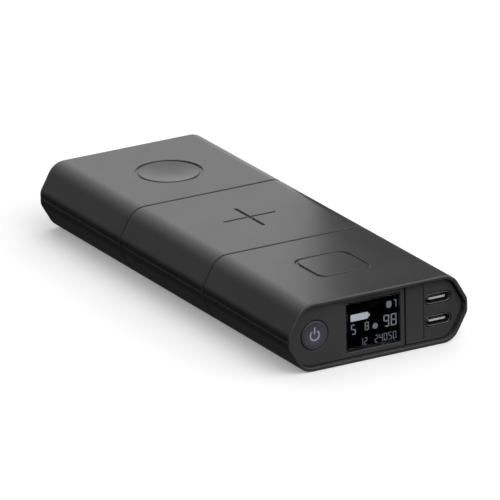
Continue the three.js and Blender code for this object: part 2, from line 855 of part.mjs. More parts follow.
function addBoards() {
  const seatZ = boardTopZ + fitGap;
  add('front_board', frontBoard(), boardGreen, 0, frontBoardY);
  add('main_board', mainBoard(), boardGreen, mainBoardX, 0, mainBoardZ);
  add('board_link', boxedPart(linkWidth, linkLength, linkHeight), innerPlastic,
    mainBoardX, mainBoardFrontY + linkLength / 2, seatZ);
  add('power_inductor_front', powerInductor(), ferrite, mainBoardX, mainBoardY - inductorY, seatZ);
  add('power_inductor_rear', powerInductor(), ferrite, mainBoardX, mainBoardY + inductorY, seatZ);
  const side = capacitorRadius + fitGap;
  add('capacitor_1', capacitor(), steel, mainBoardX - side, mainBoardY - capacitorY, seatZ);
  add('capacitor_2', capacitor(), steel, mainBoardX + side, mainBoardY - capacitorY, seatZ);
  add('capacitor_3', capacitor(), steel, mainBoardX, mainBoardY + capacitorY, seatZ);
  add('controller_chip', boxedPart(controllerWidth, controllerWidth, chipHeight), innerPlastic,
    mainBoardX, mainBoardY - chipY - controllerWidth / 2, seatZ);
  add('charger_chip', boxedPart(chargerWidth, chargerWidth, chipHeight), innerPlastic,
    mainBoardX, mainBoardY + chipY + chargerWidth / 2, seatZ);
  add('battery_connector', boxedPart(plugWidth, plugLength, plugHeight), whitePlastic,
    mainBoardX, plugY, seatZ);
  ['front', 'middle', 'rear'].forEach((place, i) => {
    add(`board_screw_${place}`, boardScrew(), steel, mainBoardX, screwPlaces()[i], seatZ);
  });
}

function addCells() {
  for (const [side, x] of [['left', cellLeftX], ['right', cellRightX]]) {
    add(`cell_front_${side}`, cell(), sleeveBlue, x, cellFrontY);
    add(`cell_rear_${side}`, cell(), sleeveBlue, x, cellRearY);
    add(`cell_link_${side}`, cellLink(), nickel, x, holderMiddleY);
  }
  add('cell_holder_front', cellHolder([1]), innerPlastic, 0, holderFrontY);
  add('cell_holder_middle', cellHolder([-1, 1]), innerPlastic, 0, holderMiddleY);
  add('cell_holder_rear', cellHolder([-1]), innerPlastic, 0, holderRearY);
  add('cell_strip_front', cellStrip(), nickel, 0, stripFrontY);
  add('cell_strip_rear', cellStrip(), nickel, 0, stripRearY);
}

function addRearContacts() {
  add('rear_contact_board', contactBoard(), boardGreen, 0, contactBoardY);
  contactPlaces().forEach((x, i) => {
    add(`dock_contact_${i + 1}`, contactPad(), gold, x, contactBoardY + contactBoardThickness + fitGap);
  });
}

function addLeads() {
  add('battery_lead_positive', positiveLead(), redInsulation);
  add('battery_lead_negative', negativeLead(), blackInsulation);
  const spread = 2 * leadRadius + fitGap;
  add('contact_lead_1', contactLead(), redInsulation, mainBoardX - spread);
  add('contact_lead_2', contactLead(), blackInsulation, mainBoardX + spread);
}

addCasing();
addDisplay();
addButton();
addSockets();
addBoards();
addCells();
addRearContacts();
addLeads();

export default pack;
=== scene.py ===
# %% [markdown]
# # A slim battery pack, surface by surface
#
# The pack is two moulded half shells around four round cells. One end carries a display, a power key and
# two sockets, and the other four charging contacts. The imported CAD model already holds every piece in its
# place. This lesson gives the pieces that show finer surfaces, and gives every piece its finish.

# %% Load the frame
import math

import bmesh
import bpy
import numpy as np
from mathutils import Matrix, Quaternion, Vector
from mathutils.geometry import delaunay_2d_cdt


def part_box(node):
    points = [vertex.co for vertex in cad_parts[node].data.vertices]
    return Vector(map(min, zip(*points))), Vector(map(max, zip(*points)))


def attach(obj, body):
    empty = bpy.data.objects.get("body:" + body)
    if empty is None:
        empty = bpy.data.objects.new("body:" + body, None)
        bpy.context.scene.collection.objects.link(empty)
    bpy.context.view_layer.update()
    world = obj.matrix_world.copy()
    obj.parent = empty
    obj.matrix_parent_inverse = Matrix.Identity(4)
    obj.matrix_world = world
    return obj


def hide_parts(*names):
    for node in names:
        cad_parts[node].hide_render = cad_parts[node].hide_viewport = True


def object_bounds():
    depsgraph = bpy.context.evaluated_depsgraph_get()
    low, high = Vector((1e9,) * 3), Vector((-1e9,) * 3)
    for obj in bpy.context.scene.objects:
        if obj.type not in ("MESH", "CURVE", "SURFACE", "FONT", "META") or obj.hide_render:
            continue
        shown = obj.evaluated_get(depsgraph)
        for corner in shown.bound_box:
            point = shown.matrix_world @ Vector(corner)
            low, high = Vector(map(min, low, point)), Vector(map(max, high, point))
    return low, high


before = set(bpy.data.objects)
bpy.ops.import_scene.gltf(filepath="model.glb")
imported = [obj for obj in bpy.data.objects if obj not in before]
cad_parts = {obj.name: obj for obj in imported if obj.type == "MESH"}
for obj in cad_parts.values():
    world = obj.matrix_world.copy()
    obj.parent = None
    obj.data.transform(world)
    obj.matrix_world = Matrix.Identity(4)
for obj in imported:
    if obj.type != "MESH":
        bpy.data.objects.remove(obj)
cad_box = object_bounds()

# %% [markdown]
# ## Sizes
#
# Everything below is worked out in millimetres, from the middle of the pack, and turned into metres only
# when a mesh is made. The three outer sizes come from the frame. The others are the CAD model's own, since
# a finer surface must lie where the plain one did. Two things differ: the seam between the half shells is
# narrower, for there the CAD model keeps room between its solids, and the sockets' tongues reach further
# forward and are half a millimetre narrower.

# %% Sizes
MM = 0.001
cad_low, cad_high = (np.array(corner) / MM for corner in cad_box)
width, length, thickness = cad_high - cad_low
middle = (cad_low + cad_high) / 2

flank_lean, side_flat = 5.1, 4.3
shoulder_radius, side_radius = 6.2, 3.6
wall, rim, lap_wall, lap_top = 1.6, 1.2, 0.8, 1.5
seam, fit_gap = 0.16, 0.3
plate_seat = 3.55


def box(name):
    """Lowest and highest corner of a CAD node, in millimetres from the middle of the pack."""
    return [np.array(corner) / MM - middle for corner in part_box(name)]


def centre(name):
    """Half the sum of a CAD node's lowest and highest corner."""
    return sum(box(name)) / 2


print("pack:", width.round(2), "x", length.round(2), "x", thickness.round(2), "mm")

# %% [markdown]
# ## From arrays to a closed piece
#
# A sheet is a grid of points, worked out as one array, whose neighbours are joined by four-sided faces.
# Sheets that meet share their edge points, so welding these closes the piece. Edges sharper than forty
# degrees are marked, so that rounded ones shade smoothly.

# %% Sheets and pieces
weld_gap = 0.002 * MM
sharp_turn = math.radians(40)


def sheet(points, around=False, closed=False):
    """A grid of points (rows, columns, 3) as points and faces: face (r, c) joins point (r, c) and the next
    ones in row and column. around joins the last column to the first, and closed the last row."""
    rows, columns = points.shape[:2]
    r = np.arange(rows if closed else rows - 1)[:, None]
    c = np.arange(columns if around else columns - 1)[None]
    corners = [(r, c), (r, c + 1), (r + 1, c + 1), (r + 1, c)]
    faces = np.stack([(a % rows) * columns + b % columns for a, b in corners], -1)
    return points.reshape(-1, 3), faces.reshape(-1, 4)


def closed_mesh(mesh):
    """Welds coinciding points, turns the faces outwards, and returns how many edges lack two faces."""
    work = bmesh.new()
    work.from_mesh(mesh)
    bmesh.ops.remove_doubles(work, verts=work.verts, dist=weld_gap)
    bmesh.ops.recalc_face_normals(work, faces=work.faces)
    work.to_mesh(mesh)
    loose = sum(len(edge.link_faces) != 2 for edge in work.edges)
    work.free()
    return loose


def column(rows, name, width=1, kind=int):
    """One property of all faces, corners or edges of a mesh, as an array with a row for each."""
    values = np.empty(len(rows) * width, kind)
    rows.foreach_get(name, values)
    return values.reshape(-1, width)


def mark_edges(mesh):
    """Writes the attribute edge: at a point, how sharply its faces turn. It is the largest angle between
    the normals of two faces that share one of its edges, as a share of a quarter turn."""
    sides = column(mesh.polygons, "loop_total")[:, 0]
    order = np.argsort(column(mesh.loops, "edge_index")[:, 0], kind="stable")
    face_of = np.repeat(np.arange(len(sides)), sides)[order]
    pair = column(mesh.polygons, "normal", 3, float)[face_of.reshape(-1, 2)]
    turn = np.arccos(np.clip((pair[:, 0] * pair[:, 1]).sum(1), -1, 1)) / (np.pi / 2)
    sharp = np.zeros(len(mesh.vertices))
    np.maximum.at(sharp, column(mesh.edges, "vertices", 2), turn[:, None])
    mesh.attributes.new("edge", "FLOAT", "POINT").data.foreach_set("value", sharp.astype(np.float32))


def piece(name, sheets, body="case", stands_for=()):
    """One closed object from sheets of points, in millimetres from the middle of the pack."""
    counts = np.cumsum([0] + [len(points) for points, _ in sheets])
    points = (np.concatenate([points for points, _ in sheets]) + middle) * MM
    faces = [face for (_, part), start in zip(sheets, counts) for face in (part + start).tolist()]
    mesh = bpy.data.meshes.new(name)
    mesh.from_pydata(points.tolist(), [], faces)
    loose = closed_mesh(mesh)
    mark_edges(mesh)
    mesh.shade_smooth()
    mesh.set_sharp_from_angle(angle=sharp_turn)
    made = bpy.data.objects.new(name, mesh)
    bpy.context.scene.collection.objects.link(made)
    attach(made, body)
    if stands_for:
        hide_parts(*stands_for)
    print(f"{name}: {len(mesh.polygons)} faces, {loose} open edges")
    return made


# %% [markdown]
# ## Outlines and the profiles carried along them
#
# Every moulded edge is slightly round, and this rounding catches the light. So an outline has arcs for
# corners, and a small profile is carried along it: each ring is the outline moved outwards a little, at
# some depth. Flat faces are filled with triangles between the rings.

# %% Outlines, rings and flat faces
round_end = 2.02  # a width over this is the radius of a round end, a hair under half the width


def turned_unit(angle):
    """Points on the unit circle: (cosine, sine) of each angle."""
    return np.stack([np.cos(angle), np.sin(angle)], -1)


def rounded(corners, radii, steps=6, ease=0.3):
    """Closed outline with an arc at each corner, as points and outward normals, anticlockwise.

    The arc's hub lies on the bisector, radius / cos(half the turn) from the corner. Its points are
    hub + radius * normal, while the normal turns. At an inward corner turn and radius are negative.
    One more point, ease along the straight edge on each side of the arc, keeps the face there flat."""
    corners = np.asarray(corners, float)
    edge = corners - np.roll(corners, 1, 0)
    heading = np.arctan2(edge[:, 1], edge[:, 0])
    turn = (np.roll(heading, -1) - heading + np.pi) % (2 * np.pi) - np.pi
    start = heading - np.pi / 2
    radius = np.sign(turn) * radii
    hub = corners - (radius / np.cos(turn / 2))[:, None] * turned_unit(start + turn / 2)
    share = np.r_[0, np.linspace(0, 1, steps + 1), 1]
    slide = np.r_[-ease, np.zeros(steps + 1), ease]
    angle = start[:, None] + turn[:, None] * share
    normals = turned_unit(angle)
    along = turned_unit(angle + np.pi / 2)
    points = hub[:, None] + radius[:, None, None] * normals + slide[:, None] * along
    return points.reshape(-1, 2), normals.reshape(-1, 2)


def rectangle(across, high, radius, x=0, y=0, steps=4, ease=0.1):
    """A rectangle about (x, y) with its four corners as arcs."""
    corners = np.array([(1, -1), (1, 1), (-1, 1), (-1, -1)]) * (across / 2, high / 2) + (x, y)
    return rounded(corners, radius, steps, ease)


def circle(radius, x=0, y=0, steps=96):
    """Points at radius from (x, y) at even angles, and the outward unit vectors there."""
    normals = turned_unit(np.arange(steps) * 2 * np.pi / steps)
    return normals * radius + (x, y), normals


def rings(outline, profile):
    """Ring k is the outline moved outwards by profile[k][0], at depth profile[k][1]."""
    points, normals = outline
    outwards, depth = np.asarray(profile, float).T
    flat = points + outwards[:, None, None] * normals
    return np.dstack([flat, np.broadcast_to(depth[:, None], flat.shape[:2])])


def rounding(radius, steps=4):
    """Quarter circle from (radius, 0) to (0, radius): 1 - sine outwards, 1 - cosine deep."""
    angle = np.linspace(0, np.pi / 2, steps + 1)
    return np.stack([radius * (1 - np.sin(angle)), radius * (1 - np.cos(angle))], 1)


same_place = 1e-7  # mm


def fill(*loops):
    """Flat face inside the first loop and outside the others: the Delaunay triangles between them."""
    ends = np.cumsum([0] + [len(loop) for loop in loops])
    outlines = [list(range(a, b)) for a, b in zip(ends, ends[1:])]
    points = np.concatenate(loops)
    found = delaunay_2d_cdt([Vector(p) for p in points[:, :2].tolist()], [], outlines, 2, same_place)
    assert len(found[0]) == len(points), "loops of a flat face touch each other"
    return points, np.array(found[2])


def brink(edge):
    """A rounded front edge, after one more ring half as far again outside, which keeps the face flat."""
    return np.r_[[(edge * 1.5, 0)], rounding(edge)]


def slab(outline, holes=(), pockets=(), deep=1.0, edge=0.2, hole_edge=0.15, back_edge=0.0):
    """Plate with rounded front edges, through holes and shallow pockets, as sheets in depth coordinates.
    A pocket is (outline, depth), and its floor joins its walls."""
    side = np.r_[brink(edge), [(0, deep - back_edge)]]
    if back_edge:
        side = np.r_[side, [(back_edge, deep)]]
    outer = rings(outline, side * (-1, 1))
    inner = [rings(hole, np.r_[brink(hole_edge), [(0, deep)]]) for hole in holes]
    sunk = [rings(pocket, np.r_[brink(hole_edge / 2), [(0, depth)]]) for pocket, depth in pockets]
    sheets = [sheet(part, around=True) for part in (outer, *inner, *sunk)]
    sheets.append(fill(outer[0], *(part[0] for part in (*inner, *sunk))))
    sheets.append(fill(outer[-1], *(part[-1] for part in inner)))
    return sheets + [fill(part[-1]) for part in sunk]


def facing(sheets, where):
    """Turns sheets in depth coordinates (across, high, deep) into places with the function where."""
    return [(np.stack(where(*points.T), 1), faces) for points, faces in sheets]


# %% [markdown]
# ## The casing's outline
#
# Cut across, the casing is an eight-sided tube: broad faces above and below, leaning flanks, and a narrow
# upright band on each side, all run together by large radii. A wall of even thickness is this outline
# moved inwards along its own normals, so one outline serves for the outside, the inside and the plates.

# %% Outline of the casing
lean = math.atan2(flank_lean, (thickness - side_flat) / 2)


def casing_corners(inset):
    """The eight corners of the outline moved inwards by inset, and their radii, from the lower right."""
    side = (width / 2 - inset, side_flat / 2 - inset * math.tan(lean / 2))
    top = (width / 2 - flank_lean - inset * math.tan((math.pi / 2 - lean) / 2), thickness / 2 - inset)
    signs = [(1, -1), (1, 1), (1, 1), (-1, 1), (-1, 1), (-1, -1), (-1, -1), (1, -1)]
    small, large = side_radius - inset, shoulder_radius - inset
    return np.array([side, side, top, top] * 2) * signs, np.array([small, small, large, large] * 2)


def upper_outline():
    """Half the outline, from the seam on the right over the top to the seam on the left. Returns points,
    normals, and how far the seam's rounded edge lies inside the outline at each point."""
    steps, edge = 12, 0.15
    whole = rounded(*casing_corners(0), steps)
    points, normals = (part.reshape(8, -1, 2)[1:5].reshape(-1, 2) for part in whole)
    inside, above = rounding(edge).T
    right = np.stack([np.full(len(above), width / 2), seam / 2 + above], 1)
    points = np.r_[right, points, right[::-1] * (-1, 1)]
    normals = np.r_[np.tile((1.0, 0.0), (len(above), 1)), normals, np.tile((-1.0, 0.0), (len(above), 1))]
    softened = np.zeros(len(points))
    softened[: len(inside)] = inside
    softened[-len(inside):] = inside[::-1]
    return points, normals, softened


half_points, half_normals, half_softened = upper_outline()
print("casing outline:", len(half_points), "points over half a turn")

# %% [markdown]
# ## The casing's profile along its length
#
# Along its length the wall has rounded ends, two grooves that part it into three equal bands, and a wider
# seat for the plate at each end. The outer side and the inner side are written as matching lists, so that
# the edges at the seam can be closed by one strip of faces between them.

# %% Profile of the casing
bands = 3
groove_width, groove_depth = 0.9, 0.5
end_edge, rim_edge, groove_edge = 0.4, 0.15, 0.15
flat_run = 0.3  # one more row this far beyond a rounded edge keeps the surface there flat
wall_lean = 0.02  # a wall leans by this much, so that no two rows share a place
seat_step = 0.1


def casing_profile():
    """Outer and inner side of the wall from one end to the other, each as places along the length and
    how far inside the outline they lie. A groove is a rounded edge, a wall and a floor, then the same
    back; the inner side's places are spread evenly beside it."""
    end = length / 2
    down = rounding(groove_edge) * (-1, 1) - (groove_width / 2, 0)
    down = np.r_[[(down[0, 0] - flat_run, 0)], down, [(-groove_width / 2 + wall_lean, groove_depth)]]
    groove = np.r_[down, down[::-1] * (-1, 1)]
    outer_end = rounding(end_edge)[:, ::-1] - (end, 0)
    inner_end = rounding(rim_edge)[:, ::-1] * (1, -1) + (-end, rim)
    seat = plate_seat - end
    flat = end_edge - end + flat_run
    outer = [outer_end, [(flat, 0), (seat, 0), (seat + seat_step, 0)]]
    inner = [inner_end, [(flat, rim), (seat, rim), (seat + wall_lean, wall)]]
    for number in range(1, bands):
        place = -end + length / bands * number
        outer.append(groove + (place, 0))
        beside = np.linspace(*(groove[[0, -1], 0] + place), len(groove))
        inner.append(np.stack([beside, np.full(len(beside), wall)], 1))
    for side in (outer, inner):
        side += [np.array(part)[::-1] * (-1, 1) for part in (side[1], side[0])]
    return np.concatenate(outer), np.concatenate(inner)


outer_side, inner_side = casing_profile()
print("casing profile:", len(outer_side), "places on each side of the wall")


# %% Wall of a half shell
def half_shell(lapped):
    """The upper half shell's wall. Its points are outline - inset * normal, where the inset is the
    profile's, but no less than the seam's rounding outside, and no more than the lap's wall inside where
    the shell overlaps the other one's lip."""
    rows = np.r_[outer_side, inner_side[::-1]]
    inset = np.repeat(rows[:, 1:], len(half_points), 1)
    count = len(outer_side)
    inset[:count] = np.maximum(inset[:count], half_softened)
    if lapped:
        low = half_points[:, 1] - wall * half_normals[:, 1] < lap_top
        inset[count:, low] = np.minimum(inset[count:, low], lap_wall)
    flat = half_points - inset[..., None] * half_normals
    along = np.repeat(rows[:, :1], len(half_points), 1)
    points, faces = sheet(np.dstack([flat[..., 0], along, flat[..., 1]]), closed=True)
    k = np.arange(count - 1)
    strip = np.stack([k, k + 1, 2 * count - 2 - k, 2 * count - 1 - k], 1) * len(half_points)
    return points, np.r_[faces, strip, strip + len(half_points) - 1]


# %% [markdown]
# ## The marks on the top
#
# Each band of the top carries one pressed-in mark: a shallow dish in a ring at the far end, a plus in the
# middle and a rounded square near the display. The flat face of each band is left out of the shell's grid
# and filled again around its mark, which has a rounded edge, a wall and a floor.

# %% Marks
dish_radius, dish_rim, dish_depth = 10.9, 0.12, 0.95
mark_width, mark_depth = 1.1, 0.5
plus_span, square_span, square_corner = 18.5, 18.0, 3.5
mark_edge, mark_floor = 0.15, 0.15
bowl_rows = 15
tip_share, inner_corner = 0.96, 0.35  # the plus: its round tips and the corners between its arms
level_error, least_band = 0.001, 10.0


# a pressed line: its rounded brink, and the same quarter circle turned over where the wall meets the floor
pressed = np.r_[brink(mark_edge), (0, mark_depth) - rounding(mark_floor, 3)[:, ::-1]]


def dish():
    """Rings of the dish: the line around it, the line's inner wall, which stops a little below the face,
    and a bowl whose depth falls from the full one with the distance from the middle squared."""
    inner_wall = pressed[::-1] * (-1, 1 - dish_rim / mark_depth) + (-mark_width, dish_rim)
    start = dish_radius + inner_wall[-1, 0]
    share = np.linspace(1, 0, bowl_rows)[1:-1]
    bowl = np.stack([start * share - dish_radius, dish_depth - (dish_depth - dish_rim) * share**2], 1)
    made = rings(circle(dish_radius, steps=128), np.r_[pressed, inner_wall, bowl])
    return made[0], [sheet(made, around=True), fill(made[-1])]


def plus():
    """A plus with round ends: twelve corners, of which the four inner ones turn inwards."""
    near, far = mark_width / 2, plus_span / 2
    arm = np.array([(far, -near), (far, near), (near, near)])
    quarter_turn = np.array([(0, 1), (-1, 0)])
    corners = np.concatenate([arm @ np.linalg.matrix_power(quarter_turn, k) for k in range(4)])
    radii = np.tile((near * tip_share, near * tip_share, inner_corner), 4)
    made = rings(rounded(corners, radii, 6, 0.01), pressed)
    return made[0], [sheet(made, around=True), fill(made[-1])]


def square():
    """A square line with rounded corners, between an outer outline and an inner one whose normals are
    turned round, since away from the groove is inwards there."""
    outer_span, inner_span = square_span + mark_width, square_span - mark_width
    outer = rings(rectangle(outer_span, outer_span, square_corner + mark_width / 2, steps=10), pressed)
    points, normals = rectangle(inner_span, inner_span, square_corner - mark_width / 2, steps=10)
    inner = rings((points, -normals), pressed)
    sheets = [sheet(outer, around=True), sheet(inner, around=True), fill(inner[0])]
    return outer[0], [*sheets, fill(outer[-1], inner[-1])]


def marked_face(mark, near, far, edge):
    """A band's flat face, from near to far along the length and edge to each side, around its mark."""
    boundary, sheets = mark
    shift = np.array([0, (near + far) / 2, 0])
    sheets = [(points + shift, faces) for points, faces in sheets]
    corners = np.array([(edge, near, 0), (edge, far, 0), (-edge, far, 0), (-edge, near, 0)])
    return facing([*sheets, fill(corners, boundary + shift)], lambda x, y, d: (x, y, thickness / 2 - d))


def upper_shell():
    """The lapped wall, whose large level faces on top are filled again around their marks."""
    points, faces = half_shell(lapped=True)
    corners = points[faces]
    size = np.ptp(corners, axis=1)
    is_band = (corners[..., 2].min(1) > thickness / 2 - level_error) & (size[:, :2].min(1) > least_band)
    sheets = [(points, faces[~is_band])]
    for band, mark in zip(corners[is_band], (square(), plus(), dish())):
        sheets += marked_face(mark, band[:, 1].min(), band[:, 1].max(), band[:, 0].max())
    return sheets


casing_top = piece("casing_top", upper_shell(), stands_for=["upper_shell"])

# %% [markdown]
# ## The lower half shell
#
# It is the same wall turned over, without marks. Along the seam a thin lip stands up inside the upper
# shell's edge, so that no light passes. On the floor stand the posts, the rail and the ribs that carry the
# boards. One shot of the mould makes all of these with the wall.

# %% Turned pieces and the lower shell
def turned(profile, steps=48, closed=False, x=0.0, z=0.0, upright=False):
    """A profile of (radius, place) carried round an axis: (radius cos a, place, radius sin a) round an
    axis along the length, or with the last two exchanged round an upright one."""
    radius, place = np.asarray(profile, float).T
    ring = turned_unit(np.arange(steps) * 2 * np.pi / steps)
    flat = radius[:, None, None] * ring
    along = np.repeat(place[:, None], steps, 1)
    order = (flat[..., 0], flat[..., 1], along) if upright else (flat[..., 0], along, flat[..., 1])
    return sheet(np.stack(order, -1) + np.array((x, z, 0) if upright else (x, 0, z)), True, closed)


def block(low, high, edge=0.15):
    """A box between two corners, rounded along the edges of its broad side."""
    (x0, y0, z0), (x1, y1, z1) = low, high
    outline = rectangle(x1 - x0, z1 - z0, edge, (x0 + x1) / 2, (z0 + z1) / 2, 3, edge / 4)
    deep = slab(outline, deep=y1 - y0, edge=edge / 2, back_edge=edge / 2)
    return facing(deep, lambda x, z, d: (x, y0 + d, z))


lip_wall, lip_foot, lip_top, lip_edge = 0.5, -1.0, 1.2, 0.12
post_radius, post_bore, post_edge, bore_edge = 2.3, 1.05, 0.2, 0.15
rib_thick, rib_half, rib_x, front_rib_high, rear_rib_top = 1.0, 2.5, 13.0, 2.2, -5.0
floor = wall - thickness / 2
root = floor - 0.5  # what stands on the floor begins this far inside it
board_low, board_high = box("main_board")
screws = [centre(f"board_screw_{place}") for place in ("front", "middle", "rear")]


def lower_shell():
    """The wall, mirrored and without its lap, and the lip, posts, rail and ribs that reach into it."""
    points, faces = half_shell(lapped=False)
    sheets = [(points * (1, 1, -1), faces)]
    reach = length / 2 - plate_seat
    for side in (-1, 1):
        x = side * (width / 2 - wall + lip_wall / 2)
        sheets += block((x - lip_wall / 2, -reach, lip_foot), (x + lip_wall / 2, reach, lip_top), lip_edge)
    top = board_low[2] - fit_gap
    post = [(post_bore, root), (post_radius, root), (post_radius, top - post_edge),
            (post_radius - post_edge, top), (post_bore + bore_edge, top), (post_bore, top - bore_edge)]
    sheets += [turned(post, 32, True, x, y, True) for x, y, _ in screws]
    rail = board_low[0]
    sheets += block((rail, box("cell_holder_front")[0][1], root), (rail + rib_thick, board_high[1], top))
    front, rear = box("front_board"), box("rear_contact_board")
    room = rib_thick + fit_gap
    ribs = [(front[0][1] - room, floor + front_rib_high), (front[1][1] + fit_gap, floor + front_rib_high),
            (rear[0][1] - room, rear_rib_top)]
    for y, high in ribs:
        for x in (-rib_x, rib_x):
            sheets += block((x - rib_half, y, root), (x + rib_half, y + rib_thick, high))
    return sheets


casing_base = piece("casing_base", lower_shell(), stands_for=["lower_shell"])

# %% [markdown]
# ## The end plates
#
# A plate closes each end, a little inside the rim. The display's plate and the sockets' plate meet in an
# open line, and a finer line runs beside the sockets. All three are slabs with the casing's own outline
# moved inwards, cut off straight where the two front ones meet.

# %% End plates
plate_inset = rim + fit_gap
plate_thickness, plate_edge, cut_radius = 1.6, 0.2, 0.35
front_face = box("front_plate")[0][1]
rear_face = box("rear_plate")[1][1]
seam_left, seam_right = box("front_plate")[1][0], box("port_plate")[0][0]
key_x, window_x = centre("power_button")[0], centre("display_window")[0]
window_across, _, window_tall = np.ptp(box("display_window"), axis=0)
sockets = {end: centre(f"usb_shell_{end}") for end in ("upper", "lower")}
socket_width, _, socket_height = np.ptp(box("usb_shell_upper"), axis=0)
pads = [centre(f"dock_contact_{number}") for number in range(1, 5)]


def plate_outline(kept=range(8), cut=None):
    """The casing's outline moved inwards. With cut, only the kept corners, and a straight edge there."""
    corners, radii = (part[list(kept)] for part in casing_corners(plate_inset))
    if cut is not None:
        high = corners[-1, 1]
        corners = np.r_[corners, [(cut, high), (cut, -high)]]
        radii = np.r_[radii, cut_radius, cut_radius]
    return rounded(corners, radii, 8, 0.1)


def socket_outline(grow):
    """A socket's outline: straight above and below, with half circles at its ends."""
    high = socket_height + 2 * grow
    return socket_width + 2 * grow, high, high / round_end


def end_plate(name, stands_for, outline, holes, where, **more):
    """A slab with holes that stands for one of the CAD plates."""
    flat = facing(slab(outline, holes, deep=plate_thickness, **more), where)
    return piece(name, flat, stands_for=[stands_for])


def into(face, way=1):
    """Places face + way * depth: way is 1 from the display end and -1 from the rear."""
    return lambda x, z, d: (x, face + way * d, z)


key_radius, opening_corner = 4.6, 0.4
opening = rectangle(window_across + 2 * fit_gap, window_tall + 2 * fit_gap, opening_corner, window_x)
key_hole = circle(key_radius + fit_gap, key_x)
display_plate = end_plate("display_end_plate", "front_plate", plate_outline((3, 4, 5, 6), seam_left),
                          [opening, key_hole], into(front_face))

line_x, line_width, line_depth, line_corner, line_stop, socket_edge = 16.83, 0.5, 0.3, 0.2, 0.35, 0.06
line_tall = 2 * casing_corners(plate_inset)[0][:, 1].max() - 2 * (plate_edge + line_stop)
port_line = rectangle(line_width, line_tall, line_corner, line_x, ease=0.02)
socket_holes = [rectangle(*socket_outline(fit_gap), x, z, 12, 0.01) for x, _, z in sockets.values()]
socket_plate = end_plate("socket_end_plate", "port_plate", plate_outline((7, 0, 1, 2), seam_right),
                         socket_holes, into(front_face), pockets=[(port_line, line_depth)],
                         hole_edge=socket_edge)

pad_width, _, pad_tall = np.ptp(box("dock_contact_1"), axis=0)
slot_corner, pad_corner = 0.5, 0.4
slots = [rectangle(pad_width + 2 * fit_gap, pad_tall + 2 * fit_gap, slot_corner, x) for x, _, _ in pads]
contact_plate = end_plate("contact_end_plate", "rear_plate", plate_outline(), slots, into(rear_face, -1))

# %% [markdown]
# ## The power key
#
# The key is a round cap with a shallow hollow for the finger. A flange behind the plate keeps it in, and
# a stem reaches the switch's plunger. It is a turned piece, so its profile says everything. Its sign, an
# open ring with an upright stroke, is a clear inlay lit from behind.

# %% Power key and its lit sign
key_proud, key_hollow, key_edge = 0.25, 0.2, 0.3
flange, flange_edge, stem_radius, stem_edge = 0.8, 0.1, 1.4, 0.2
stem_end = box("power_button")[1][1]


def key_face(radius):
    """Where the key's face lies: before the plate at its edge, and deeper in the middle, by a cosine."""
    share = np.clip(radius / (key_radius - key_edge), 0, 1)
    return front_face - key_proud + key_hollow * (1 + np.cos(np.pi * share)) / 2


def key_profile():
    """(radius, place) from the middle of the face over its rounded edge, the flange and the stem."""
    radius = np.linspace(0, key_radius - key_edge, 16)
    bevel = rounding(key_edge, 5)
    corner = np.stack([key_radius - bevel[:, 0], front_face - key_proud + bevel[:, 1]], 1)[1:]
    back = front_face + plate_thickness + fit_gap
    wide = key_radius + flange
    rest = [(key_radius, back), (wide - flange_edge, back), (wide, back + flange_edge), (wide, back + flange),
            (stem_radius, back + flange), (stem_radius, stem_end - stem_edge),
            (stem_radius - stem_edge, stem_end), (0, stem_end)]
    return np.r_[np.stack([radius, key_face(radius)], 1), corner, rest]


power_key = piece("power_key", [turned(key_profile(), 96, x=key_x)], "button",
                  ["power_button"])

sign_radius, sign_stroke, sign_gap = 1.55, 0.5, 0.72
sign_stand, sign_deep, sign_edge = 0.03, 0.4, 0.03
stroke_low, stroke_high = 0.35, 2.75


def inlay(outline):
    """An inlay in the key: its front is the key's face raised by a hair, and its back lies inside."""
    made = rings(outline, [(-0.1, -sign_stand), (-sign_edge, -sign_stand), (0, 0), (0, sign_deep)])
    sheets = [sheet(made, around=True), fill(made[0]), fill(made[-1])]
    return facing(sheets, lambda x, z, d: (key_x + x, key_face(np.hypot(x, z)) + d, z))


def ring_outline():
    """An open ring: an outer arc and an inner one, ended by half circles, from the gap round to the gap."""
    half = sign_stroke / 2
    angle = np.pi / 2 + np.linspace(sign_gap, 2 * np.pi - sign_gap, 64)
    outer, inner = turned_unit(angle), turned_unit(angle[::-1])
    cap = np.linspace(0, np.pi, 9)[1:-1]
    end_cap, start_cap = turned_unit(angle[-1] + cap), turned_unit(angle[0] + np.pi + cap)
    points = np.r_[outer * (sign_radius + half), outer[-1:] * sign_radius + half * end_cap,
                   inner * (sign_radius - half), outer[:1] * sign_radius + half * start_cap]
    return points, np.r_[outer, end_cap, -inner, start_cap]


stroke = rectangle(sign_stroke, stroke_high - stroke_low, sign_stroke / round_end,
                   0, (stroke_low + stroke_high) / 2, 8, 0.001)
power_mark = piece("power_mark", inlay(ring_outline()) + inlay(stroke), "button")

# %% [markdown]
# ## The display
#
# A clear cover lies flush in its opening, and behind it stands the panel, which stays black except where
# it is lit. What it shows is generic: a charge gauge, two dots and a few digits. A digit is built from up
# to seven bars, as such panels draw them.

# %% Display
def pane(name, stands_for, slot, corner, **edges):
    """A plate with rounded corners that fills the box of a CAD node in the display."""
    low, high = box(stands_for)
    across, deep, tall = high - low
    flat = slab(rectangle(across, tall, corner, window_x), deep=deep, **edges)
    return piece(name, facing(flat, into(low[1])), stands_for=[stands_for])


screen_cover = pane("screen_cover", "display_window", "window_glass", 0.25, edge=0.12, back_edge=0.12)
screen_panel = pane("screen_panel", "display_panel", "panel_glass", 0.3, edge=0.1)

panel_face = box("display_panel")[0][1]
lit_stand, lit_edge = 0.05, 0.02
digit_share, digit_step, bar_gap, bar_round = 0.52, 1.3, 0.12, 0.3


def lit(outlines):
    """Thin raised slabs on the panel, one for each outline, that reach a little into it."""
    thin = (slab(outline, deep=lit_stand + lit_edge, edge=lit_edge) for outline in outlines)
    return [made for sheets in thin for made in facing(sheets, into(panel_face - lit_stand))]


